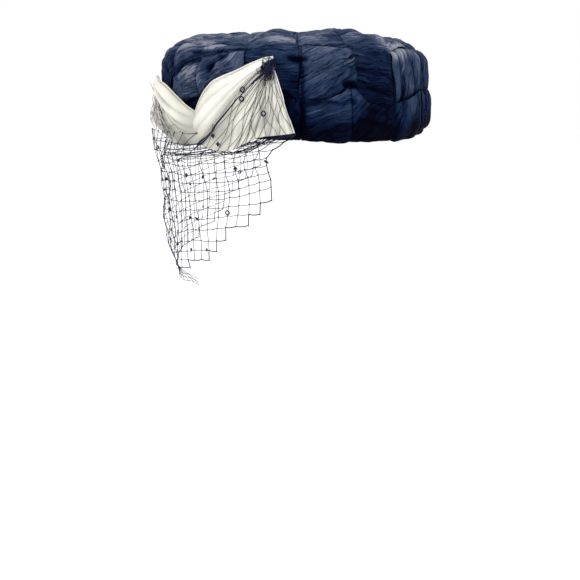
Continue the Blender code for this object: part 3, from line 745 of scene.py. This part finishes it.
def satin():
    """Cream satin: a warm white with slow mottling, a soft sheen along the folds and a very fine
    weft in relief. The tone attribute greys it with painted shade in the depths of the pleats and
    lightens it with painted highlights on their ridges."""
    material, tree, shader = new_material("cream_satin", (0.66, 0.64, 0.55), 0.42, 0.1, (1.0, 0.97, 0.9))
    shader.inputs["Specular IOR Level"].default_value = 0.35
    place = add_node(tree, "UVMap", {}, uv_map="cloth").outputs["UV"]
    mottle = add_node(tree, "TexNoise", {"Vector": place, "Scale": 60.0, "Detail": 5.0}).outputs["Fac"]
    tone = add_node(tree, "Attribute", {}, attribute_name="tone").outputs["Fac"]
    blend = add_node(tree, "Math", {0: mottle, 1: 0.5, 2: tone}, operation="MULTIPLY_ADD")
    colour = add_ramp(tree, blend.outputs["Value"], SATIN_COLOURS)
    weft = add_node(tree, "TexNoise", {"Vector": place, "Scale": 1400.0}).outputs["Fac"]
    relief = add_node(tree, "Bump", {"Strength": 0.15, "Distance": 0.0001, "Height": weft})
    tree.links.new(colour, shader.inputs["Base Color"])
    tree.links.new(relief.outputs["Normal"], shader.inputs["Normal"])
    return material


SATIN = satin()
SATIN_TONE = 0.42
# Painted shade in the hollows of pleats and creases and painted highlights on their ridges, per metre of
# relief
PLEAT_SHADING = 250.0


def fan_pleats(share, drop, seed):
    """Relief of the fan's pleats: sharp ones that spread from the tip and crowd to the outer
    edge, and small uneven gathers between them, both deepest half way down."""
    crowd = 0.9 * share + 8.0 * share ** 2.4 + 0.55 * soft_noise(drop * 3.0, share * 4.0, seed)
    pleats = 0.0013 * (0.5 - np.abs(np.sin(np.pi * crowd))) * np.clip(share * 2.0 - 0.2, 0.15, 1.0)
    pleats = pleats * (1.0 + 0.6 * soft_noise(share * 9.0, drop * 2.0, seed + 5))
    fine = 0.0007 * soft_noise(share * 30.0, drop * 4.0, seed + 2) * np.clip(share * 1.8 - 0.3, 0.05, 1.0)
    crease = 0.0009 * soft_noise(share * 6.0, drop * 5.0, seed + 1)
    return (pleats + fine) * np.clip(drop * 2.2, 0.0, 1.0) * (1.0 - 0.45 * drop) + crease * drop


def fan_stand_out(share, drop, seed):
    """How far the fan stands out: a flare that grows downwards, pinched at its inner edge, with
    the pleats on it."""
    opening = 0.25 + 0.75 * np.sin(np.pi / 2 * np.clip(1.6 * share, 0.0, 1.0))
    return 0.0014 + FAN_STAND_OUT * opening * drop ** 2.2 + fan_pleats(share, drop, seed)


def fan_place(wing, share, drop):
    """Shares of reach and rise on the fan: straight from the tip to the foot, and its inner
    edge bowed up under the folded band."""
    foot_reach = smooth_edge(wing["foot_reach"], share)
    foot_rise = smooth_edge(wing["foot_rise"], share)
    tuck = 0.16 * np.sin(np.pi * drop) * np.clip(1.0 - 3.0 * share, 0.0, 1.0)
    share_reach = wing["tip"][0] + (foot_reach - wing["tip"][0]) * drop
    return share_reach, wing["tip"][1] + (foot_rise - wing["tip"][1]) * drop + tuck


def fold_place(wing, share, turn):
    """Shares of reach and rise on the folded band, and how far it stands out: a front leaf that
    bulges between hem and top with long sharp creases, then a valley and a thin back leaf that
    shows above it and turns in."""
    top_reach, top_rise = smooth_edge(wing["top_reach"], share), smooth_edge(wing["top_rise"], share)
    hem_reach, hem_rise = smooth_edge(wing["hem_reach"], share), smooth_edge(wing["hem_rise"], share)
    leaf = np.sin(np.pi * np.clip(share * 0.96 + 0.02, 0.0, 1.0)) ** 0.7
    front = np.clip(turn / 0.66, 0.0, 1.0)
    over = np.interp(turn, (0.66, 0.74, 0.90, 1.0), (0.0, -0.08, 0.09, 0.06)) * leaf
    blend = front + over
    bulge = FOLD_BULGE * leaf * np.sin(np.pi * front ** 0.85) ** 0.8
    creases = np.abs(np.sin(np.pi * (2.6 * front + 0.45 * share + 0.2 * np.sin(5.0 * share))))
    creases = 0.0016 * (creases ** 0.7 - 0.6) * leaf * np.sin(np.pi * front)
    ripple = 0.0007 * soft_noise(share * 4.0, front * 7.0, wing["seed"] + 20) * leaf * np.sin(np.pi * front)
    hem_out = 0.0014 + 0.25 * FAN_STAND_OUT * (1.0 - share) ** 2.2 + SATIN_WALL
    rear = np.interp(turn, (0.0, 0.66, 0.74, 0.90, 1.0), (0.0, 0.0, -0.0010, 0.0006, -0.0008))
    stand_out = hem_out + (0.0020 - hem_out) * front ** 3 + bulge + creases + ripple + rear
    share_reach = hem_reach + (top_reach - hem_reach) * blend
    return share_reach, hem_rise + (top_rise - hem_rise) * blend, stand_out, creases + ripple + rear


def sew_bow_piece(name, points, grain, shade):
    """Puts one satin piece of the bow in place on the hat."""
    piece = lay_cloth(f"satin_{name}", points, grain, shade, SATIN, SATIN_WALL)
    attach(piece, "root")
    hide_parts(f"bow_{name}")


def sew_fan(side):
    """The fan of a wing: from near its tip at the top down to the foot, one pleat to the next."""
    wing = WINGS[side]
    share, drop = np.meshgrid(np.linspace(0.0, 1.0, 151), np.linspace(0.04, 1.0, 71), indexing="ij")
    share_reach, share_rise = fan_place(wing, share, drop)
    points = on_wing(wing, share_reach, share_rise, fan_stand_out(share, drop, wing["seed"]))
    # Painted shade: darker down the fan, where less light falls, and darker on the front wing, turned from
    # the light; the pleats add painted shade and highlights
    shade = SATIN_TONE - (0.02 if wing["side"] > 0 else 0.12) - 0.36 * drop ** 2 * (1.0 - 0.4 * share)
    shade = shade + fan_pleats(share, drop, wing["seed"]) * PLEAT_SHADING
    if wing["side"] > 0:
        points, share, drop, shade = points[:, ::-1], share[:, ::-1], drop[:, ::-1], shade[:, ::-1]
    width = math.radians(wing["reach"]) * CROWN_RADIUS * 1.15
    grain = np.stack([share * width * drop, drop * wing["rise"] * 1.15], axis=-1)
    sew_bow_piece(f"fan_{side}", points, grain, shade)


def sew_fold(side):
    """The folded band of a wing, from its hem up over the front and round to the back leaf."""
    wing = WINGS[side]
    share, turn = np.meshgrid(np.linspace(0.0, 1.0, 121), np.linspace(0.0, 1.0, 71), indexing="ij")
    share_reach, share_rise, stand_out, relief = fold_place(wing, share, turn)
    points = on_wing(wing, share_reach, share_rise, stand_out)
    # Painted light and shade: the side wing a little lighter, the front wing darker as it turns from the
    # light, both darker towards the pinch; the creases add painted shade and highlights
    shade = SATIN_TONE + (0.05 if wing["side"] > 0 else -0.12) - 0.28 * (1.0 - share) ** 3
    shade = shade + relief * PLEAT_SHADING
    if wing["side"] < 0:
        points, share, turn, shade = points[:, ::-1], share[:, ::-1], turn[:, ::-1], shade[:, ::-1]
    length = math.hypot(math.radians(wing["reach"]) * CROWN_RADIUS, wing["rise"])
    grain = np.stack([share * length, turn * 0.03], axis=-1)
    sew_bow_piece(f"fold_{side}", points, grain, shade)


for side in WINGS:
    sew_fan(side)
    sew_fold(side)

# Veil: fine navy net with a knot at each crossing of its threads and small chenille marks. It
# is gathered at the bow's tips, spreads over the fans and hangs before the face, cut in steps.
NET_PITCH = 0.0073
NET_COLUMNS = 36
NET_ROWS = 17
THREAD = 0.00042
EDGE_THREAD = 0.00070
NET_ROW_RISE = 0.0200
BOW_DEPTH = 0.0125
COVER_FROM, COVER_TO, COVER_EDGE = 9.0, 44.0, 7.0

# Outline of the veil: how far it spreads from the rim and covers the front wing as shares, the
# angle of its side edge at each depth, and the depth of its stepped cut at each angle
VEIL_DEPTHS = (0.0, 0.006, 0.012, 0.020, 0.026, 0.040, 0.062, 0.104, 0.120)
VEIL_SPREAD = (0.0, 0.012, 0.030, 0.050, 0.060, 0.058, 0.055, 0.015, 0.005)
VEIL_OVER_BOW = (1.0, 1.0, 1.0, 0.75, 0.50, 0.30, 0.12, 0.0, 0.0)
VEIL_SIDES = (84.0, 78.5, 73.5, 74.0, 75.5, 75.8, 74.5, 68.0, 66.0)
CUT_ANGLES = (0.0, 22.0, 30.0, 39.0, 47.0, 52.0, 55.0, 60.0, 65.0, 70.0, 73.0, 76.0)
CUT_HEIGHTS = (0.104, 0.101, 0.097, 0.092, 0.086, 0.077, 0.071, 0.064, 0.057, 0.052, 0.046, 0.042)


def net_surface(angle, height):
    """Points of the hanging net: the rim's radius, a spread that grows below it, and over the
    bow's front wing that wing's depth, which dies away downwards and just past the wing. Before
    the face the net is loose, and bellies in and out a little."""
    depth = -height
    spread = np.interp(depth, VEIL_DEPTHS, VEIL_SPREAD)
    over = np.interp(depth, VEIL_DEPTHS, VEIL_OVER_BOW)
    cover = ease((angle - COVER_FROM + COVER_EDGE) / COVER_EDGE)
    cover = cover * ease((COVER_TO + COVER_EDGE - angle) / COVER_EDGE)
    radius = CROWN_RADIUS * SIDE_RADII[0] + 0.0014 + CROWN_RADIUS * spread * (1.0 - cover * over)
    loose = ease(depth / 0.02) * (0.25 + 0.75 * np.exp(-((angle - 8.0) / 24.0) ** 2))
    belly = 0.0030 * soft_noise(angle / 9.0 + 40.0, height / 0.021 + 40.0, 410)
    belly = belly + 0.0014 * soft_noise(angle / 3.7 + 40.0, height / 0.008 + 40.0, 411)
    radius = radius + BOW_DEPTH * cover * over + belly * loose
    turn = np.radians(angle)
    return np.stack([radius * np.sin(turn), -radius * np.cos(turn), height], axis=-1)


def spin_threads(paths, radii, sides=4):
    """Tubes round paths: at each point a ring square to the path, joined to the next ring. All
    paths have the same number of points, so that the rings are worked out as one array."""
    paths = np.asarray(paths)
    ahead = np.gradient(paths, axis=1)
    ahead /= np.maximum(np.linalg.norm(ahead, axis=2, keepdims=True), 1e-9)
    up = np.where(np.abs(ahead[..., 2:3]) > 0.8, np.array([1.0, 0.3, 0.0]), np.array([0.0, 0.0, 1.0]))
    first = np.cross(ahead, up)
    first /= np.maximum(np.linalg.norm(first, axis=2, keepdims=True), 1e-9)
    second = np.cross(ahead, first)
    turn = np.arange(sides) * 2 * np.pi / sides
    ring = first[:, :, None] * np.cos(turn)[:, None] + second[:, :, None] * np.sin(turn)[:, None]
    points = paths[:, :, None] + ring * np.broadcast_to(radii, paths.shape[:2])[:, :, None, None]
    count, length = paths.shape[:2]
    index = np.arange(count * length * sides).reshape(count, length, sides)
    turned = np.roll(index, -1, axis=2)
    walls = np.stack([index[:, :-1], index[:, 1:], turned[:, 1:], turned[:, :-1]], axis=-1).reshape(-1, 4)
    caps = np.concatenate([index[:, 0], index[:, -1, ::-1]])
    return points.reshape(-1, 3), walls.tolist() + caps.tolist()


def net_thread():
    """Navy nylon thread: near black with a little gloss, and furred in patches."""
    material, tree, shader = new_material("navy_net_thread", (0.008, 0.010, 0.030), 0.6, 0.0)
    shader.inputs["Specular IOR Level"].default_value = 0.15
    place = add_node(tree, "TexCoord", {}).outputs["Object"]
    fur = add_node(tree, "TexNoise", {"Vector": place, "Scale": 600.0}).outputs["Fac"]
    colours = {"Factor": fur, "A": (0.004, 0.005, 0.018, 1.0), "B": (0.022, 0.024, 0.060, 1.0)}
    shade = add_node(tree, "Mix", colours, data_type="RGBA")
    tree.links.new(shade.outputs["Result"], shader.inputs["Base Color"])
    return material


def knot_places():
    """Angle and height of every knot of the net, as a grid of columns and rows: the columns share
    out the width between the side edges, the rows rise towards them, and all wander a little."""
    column, row = np.meshgrid(np.arange(NET_COLUMNS + 1), np.arange(NET_ROWS + 1), indexing="ij")
    across = 2.0 * column / NET_COLUMNS - 1.0
    loose = np.clip(row / 3.0, 0.0, 1.0)
    height = -row * NET_PITCH + NET_ROW_RISE * np.clip(row / 7.0, 0.0, 1.0) * np.abs(across) ** 2.0
    height = height + 0.0027 * soft_noise(column / 4.0, row / 3.0, 402) * loose
    height = np.minimum(height + 0.0008 * soft_noise(column * 0.9, row * 0.9, 404) * loose, 0.0)
    angle = across * np.interp(-height, VEIL_DEPTHS, VEIL_SIDES)
    inner = 1.0 - np.abs(across) ** 6
    angle = angle + 3.0 * soft_noise(column / 3.6, row / 3.4, 401) * loose * inner
    angle = angle + 0.5 * soft_noise(column * 0.9, row * 0.9, 403) * inner
    return angle, height, row


THREAD_STEPS = 4
knot_angle, knot_height, knot_row = knot_places()
kept = -knot_height <= np.interp(np.abs(knot_angle), CUT_ANGLES, CUT_HEIGHTS) + 0.3 * NET_PITCH
kept &= np.cumprod(kept, axis=1).astype(bool)
across = kept[:-1] & kept[1:]
down = kept[:, :-1] & kept[:, 1:]
across[(knot_angle[:-1, 0] > COVER_FROM - 6.0) & (knot_angle[1:, 0] < COVER_TO), 0] = False
cells = kept[:-1, :-1] & kept[1:, :-1] & kept[:-1, 1:] & kept[1:, 1:]
walled = np.pad(cells, 1)
edge_across = (walled[1:-1, :-1] ^ walled[1:-1, 1:]) & (knot_row[1:] > 1)
edge_down = walled[:-1, 1:-1] ^ walled[1:, 1:-1]
starts = np.concatenate([np.argwhere(across), np.argwhere(down)])
ends = starts + np.repeat([[1, 0], [0, 1]], [across.sum(), down.sum()], axis=0)
at_edge = np.concatenate([edge_across[across], edge_down[down]])
share = np.linspace(0.0, 1.0, THREAD_STEPS)[None, :]
first, last = (starts[:, 0], starts[:, 1]), (ends[:, 0], ends[:, 1])
path_angle = knot_angle[first][:, None] * (1 - share) + knot_angle[last][:, None] * share
path_height = knot_height[first][:, None] * (1 - share) + knot_height[last][:, None] * share
slack = 0.0005 * np.sin(np.pi * share)
width = np.where(at_edge, EDGE_THREAD, THREAD)[:, None] / 2
threads = [spin_threads(net_surface(path_angle, path_height - slack), width)]
knot_ends = np.array([[0.0, 0.0, -0.0006], [0.0, 0.0, 0.0], [0.0, 0.0, 0.0006]])
knots = net_surface(knot_angle[kept], knot_height[kept])[:, None, :] + knot_ends
threads.append(spin_threads(knots, THREAD * np.array([0.5, 1.15, 0.5]), sides=5))

# Strands over the bow's side wing: two sets that cross as they spread from the tip over the
# pleats, a twisted bundle along the hem of the folded band, and a bunch at the tip
STRAND_STEPS = 24
along = np.linspace(0.0, 1.0, STRAND_STEPS)[None, :]
wing = WINGS["left"]
spread = np.linspace(0.0, 1.0, 11)[:, None] ** 0.8
drop = 0.06 + 0.95 * along
for lean, seed in ((0.24, 420), (-0.20, 421)):
    wander = 0.06 * soft_noise(spread * 40.0, drop * 4.0, seed) * np.sin(np.pi * along)
    strand_share = np.clip(0.04 + 0.92 * spread + lean * (along - 0.5) + wander, 0.01, 0.99)
    place = fan_place(wing, strand_share, drop)
    strand_out = fan_stand_out(strand_share, drop, wing["seed"]) + 0.0008
    threads.append(spin_threads(on_wing(wing, *place, strand_out), 0.65 * THREAD / 2))
bundle = np.linspace(0.0, 1.0, 10)[:, None]
twist = 0.052 * np.sin(2 * np.pi * (bundle * 3.1 + along * (1.5 + 2.0 * bundle)))
hem_share = 0.02 + 0.96 * along + 0.0 * bundle
hem_reach, hem_rise, hem_out, _ = fold_place(wing, hem_share, np.full(hem_share.shape, 0.02))
bundle_out = hem_out + 0.0020 + 0.001 * np.sin(9 * twist)
bundle_place = hem_reach + 0.7 * twist + 0.05, hem_rise - 0.04 + twist
threads.append(spin_threads(on_wing(wing, *bundle_place, bundle_out), 0.8 * THREAD / 2))
draw = np.random.default_rng(440)
loops, size = draw.uniform(0.0, 2 * np.pi, (26, 1)), draw.uniform(0.015, 0.060, (26, 1))
middle_reach, middle_rise = draw.normal(0.985, 0.024, (26, 1)), draw.normal(0.87, 0.06, (26, 1))
threads.append(spin_threads(on_wing(
    wing,
    middle_reach + 0.8 * size * np.cos(2 * np.pi * along + loops),
    middle_rise + 1.4 * size * np.sin(4 * np.pi * along + 2 * loops),
    0.0040 + 0.0015 * np.sin(6 * np.pi * along + loops),
), THREAD / 2))

# Net over the bow's front wing: the same square net drawn slantwise to the wing's tip
wing = WINGS["right"]
lines = np.linspace(0.05, 1.0, 7)[:, None]
share_down = np.clip(lines + 0.05 * soft_noise(lines * 30.0, along * 4.0, 450), 0.0, 1.0)
share_across = 0.04 + 0.96 * along + 0.0 * lines
drop_down = 0.10 + 0.92 * along + 0.0 * lines
drop_across = np.clip(0.2 + 0.8 * lines + 0.07 * soft_noise(lines * 30.0, along * 6.0, 451), 0.0, 1.04)
for share_at, drop_at in ((share_down, drop_down), (share_across, drop_across)):
    place = fan_place(wing, share_at, drop_at)
    cover_out = fan_stand_out(share_at, drop_at, wing["seed"]) + 0.0010
    cover_out = cover_out + 0.0050 * np.clip(1.0 - 3.0 * share_at, 0.0, 1.0)
    threads.append(spin_threads(on_wing(wing, *place, cover_out), 0.6 * THREAD / 2))

# Gathers of net below the bow, where its upper edge is drawn together and sewn, and the loose
# end of the net at the front, drawn together under a knot
gather = np.linspace(0.0, 1.0, 16)[:, None]
gather_start = 27.0 + 14.0 * np.abs(soft_noise(gather * 23.0, gather * 5.0, 461))
gather_angle = gather_start + (83.0 - gather_start) * along
pulled = np.cos(0.5 * np.pi * along ** 1.5)
gather_height = -0.0070 - 0.0085 * gather * pulled
gather_height += 0.0016 * soft_noise(gather_angle / 4.0 + 7.0 * gather, gather * 11.0, 460)
gather_height -= 0.003 * pulled * ease((56.0 - gather_angle) / 20.0)
gather_height += 0.0070 * ease((gather_angle - 60.0) / 20.0)
gather_out = np.array([1.012, 1.012, 1.0])
threads.append(spin_threads(net_surface(gather_angle, gather_height) * gather_out, 0.8 * THREAD / 2))
tail = np.linspace(0.0, 1.0, 7)[:, None]
tail_angle = 22.0 + (20.0 * tail - 4.0) * along ** 0.8
tail_height = -0.0945 - 0.0125 * along ** 0.8
tail_height = tail_height + 0.0008 * np.sin(7.0 * along + 5.0 * tail) * np.sin(np.pi * along)
tail_hem_angle = 18.0 + 20.0 * along + 0.0 * tail[:3]
tail_hem_height = -0.1070 + (0.0065 * tail[:3] / tail[2]) * (1.0 - 0.3 * along)
tail_hem_height = tail_hem_height + 0.0005 * np.sin(11.0 * along)
threads.append(spin_threads(net_surface(tail_angle, tail_height), THREAD / 2))
threads.append(spin_threads(net_surface(tail_hem_angle, tail_hem_height), THREAD / 2))

# Chenille marks on the net: angle, height in metres and form of each one that hangs free, then
# share of the fan, drop and form of each one that lies on the bow's side wing
MARKS = {
    "angle": (62.8, 59.7, 41.1, 48.9, 43.9, 39.7, 28.3, 26.5, 37.7, 47.1, 24.0, 18.4, 7.5, 72.7, -8.0,
              -22.0, -40.0, -56.0, -64.0, -30.0, -12.0, -48.0),
    "height": (-0.0213, -0.0498, -0.0283, -0.0278, -0.0568, -0.0557, -0.0595, -0.0799, -0.0797, -0.0769,
               -0.0355, -0.0543, -0.0132, -0.0164, -0.06, -0.03, -0.072, -0.025, -0.045, -0.05, -0.085,
               -0.052),
    "form": ("star", "diamond", "star", "dot", "bar", "dot", "dot", "dot", "dot", "dot", "dot", "diamond",
             "dot", "bar", "star", "dot", "dot", "star", "diamond", "dot", "dot", "bar"),
}
BOW_MARKS = {
    "share": (0.14, 0.22, 0.72, 0.15, 0.26),
    "drop": (0.38, 0.45, 0.68, 0.88, 0.93),
    "form": ("diamond", "diamond", "diamond", "star", "star"),
}
FORMS = {
    "dot": ((0.0, -0.75, 0.15, 0.75),),
    "bar": ((-1.0, 0.5, 1.0, -0.5),),
    "star": ((-0.9, 0.0, 0.9, 0.0), (0.0, -0.9, 0.0, 0.9)),
    "diamond": ((-1.1, 0.0, 0.0, 1.1), (0.0, 1.1, 1.1, 0.0), (1.1, 0.0, 0.0, -1.1), (0.0, -1.1, -1.1, 0.0)),
}
MARK_SIZE = 0.0016
MARK_THREAD = 0.0015
mark_share, mark_drop = np.array(BOW_MARKS["share"]), np.array(BOW_MARKS["drop"])
wing = WINGS["left"]
mark_out = fan_stand_out(mark_share, mark_drop, wing["seed"]) + 0.0015
bow_centres = on_wing(wing, *fan_place(wing, mark_share, mark_drop), mark_out)
mark_angle, mark_height = np.array(MARKS["angle"]), np.array(MARKS["height"])
off_angle = knot_angle[kept] - mark_angle[:, None]
off_height = knot_height[kept] - mark_height[:, None]
nearest = np.argmin((np.radians(off_angle) * CROWN_RADIUS) ** 2 + off_height ** 2, axis=1)[:, None]
off_angle = np.take_along_axis(off_angle, nearest, axis=1)[:, 0]
off_height = np.take_along_axis(off_height, nearest, axis=1)[:, 0]
sideways_first = np.abs(np.radians(off_angle)) * CROWN_RADIUS < np.abs(off_height)
mark_angle = mark_angle + np.where(sideways_first, off_angle, 0.0)
mark_height = mark_height + np.where(sideways_first, 0.0, off_height)
centres = np.concatenate([net_surface(mark_angle, mark_height), bow_centres])
step = np.linspace(0.0, 1.0, 5)[:, None]
upwards = np.array([0.0, 0.0, 1.0])
marks = []
for centre, form in zip(centres, MARKS["form"] + BOW_MARKS["form"]):
    turn = math.atan2(centre[0], -centre[1])
    sideways = np.array([math.cos(turn), math.sin(turn), 0.0])
    for x0, y0, x1, y1 in FORMS[form]:
        thin = 0.62 if form == "diamond" else 1.0
        path = (x0 + (x1 - x0) * step) * sideways + (y0 + (y1 - y0) * step) * upwards
        marks.append((centre + MARK_SIZE * path, thin))
round_ends = MARK_THREAD / 2 * np.array([0.45, 0.9, 1.0, 0.9, 0.45])
mark_width = np.array([thin for _, thin in marks])[:, None] * round_ends
threads.append(spin_threads([path for path, _ in marks], mark_width, sides=6))

points, faces, before = [], [], 0
for part_points, part_faces in threads:
    points.append(part_points)
    faces += [[corner + before for corner in face] for face in part_faces]
    before += len(part_points)
veil_mesh = bpy.data.meshes.new("net_veil")
veil_mesh.from_pydata(np.concatenate(points).tolist(), [], faces)
veil_mesh.shade_smooth()
veil_mesh.materials.append(net_thread())
veil = bpy.data.objects.new("net_veil", veil_mesh)
bpy.context.scene.collection.objects.link(veil)
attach(veil, "root")
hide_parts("veil")

# Setting: a plain pale floor far below the hat, a white surround and soft studio light from
# above and in front. The camera stands close, at the height of the rim, looking down.
FLOOR_HEIGHT = -0.34
FLOOR_SIZE = 8.0
floor_points = np.array([[-1, -1], [1, -1], [1, 1], [-1, 1]]) * FLOOR_SIZE / 2
floor_mesh = bpy.data.meshes.new("floor")
floor_mesh.from_pydata([(x, y, FLOOR_HEIGHT) for x, y in floor_points], [], [(0, 1, 2, 3)])
floor = bpy.data.objects.new("floor", floor_mesh)
bpy.context.scene.collection.objects.link(floor)
floor_mesh.materials.append(new_material("floor_paint", (0.92, 0.92, 0.92), 0.8)[0])

world = bpy.data.worlds.new("surround")
bpy.context.scene.world = world
world.use_nodes = True
world.node_tree.nodes["Background"].inputs["Color"].default_value = (1.0, 1.0, 1.0, 1.0)
world.node_tree.nodes["Background"].inputs["Strength"].default_value = 1.0
bpy.context.scene.view_settings.view_transform = "Standard"


def hang_light(name, kind, azimuth, elevation, power, size):
    """A light of a kind at an azimuth and elevation from the hat, facing it. The size is an area
    light's side in metres, or the angle in degrees that a sun seems to fill."""
    light = bpy.data.lights.new(name, kind)
    light.energy = power
    if kind == "SUN":
        light.angle = math.radians(size)
    else:
        light.size = size
    lamp = bpy.data.objects.new(name, light)
    bpy.context.scene.collection.objects.link(lamp)
    turn, tilt = math.radians(azimuth), math.radians(elevation)
    away = np.array([math.sin(turn) * math.cos(tilt), -math.cos(turn) * math.cos(tilt), math.sin(tilt)])
    lamp.location = away * LIGHT_DISTANCE
    lamp.rotation_euler = (math.radians(90.0) - tilt, 0.0, turn)


LIGHT_DISTANCE = 1.4
hang_light("overhead", "SUN", 120.0, 62.0, 1.1, 35.0)
hang_light("front", "AREA", 60.0, 30.0, 4.0, 0.8)

CAMERA_AZIMUTH = 84.5
CAMERA_DISTANCE = 0.474
CAMERA_HEIGHT = 0.022
CAMERA_PITCH = 18.1
CAMERA_TURN = 0.63
CAMERA_FOCUS = 590.0
IMAGE_WIDTH = 580.0
camera_data = bpy.data.cameras.new("camera")
camera_data.sensor_width = 36.0
camera_data.lens = CAMERA_FOCUS / IMAGE_WIDTH * camera_data.sensor_width
camera = bpy.data.objects.new("camera", camera_data)
bpy.context.scene.collection.objects.link(camera)
turn = math.radians(CAMERA_AZIMUTH)
camera.location = (CAMERA_DISTANCE * math.sin(turn), -CAMERA_DISTANCE * math.cos(turn), CAMERA_HEIGHT)
camera.rotation_euler = (math.radians(90.0 - CAMERA_PITCH), 0.0, turn + math.radians(CAMERA_TURN))
camera_data.clip_start = 0.01
bpy.context.scene.camera = camera
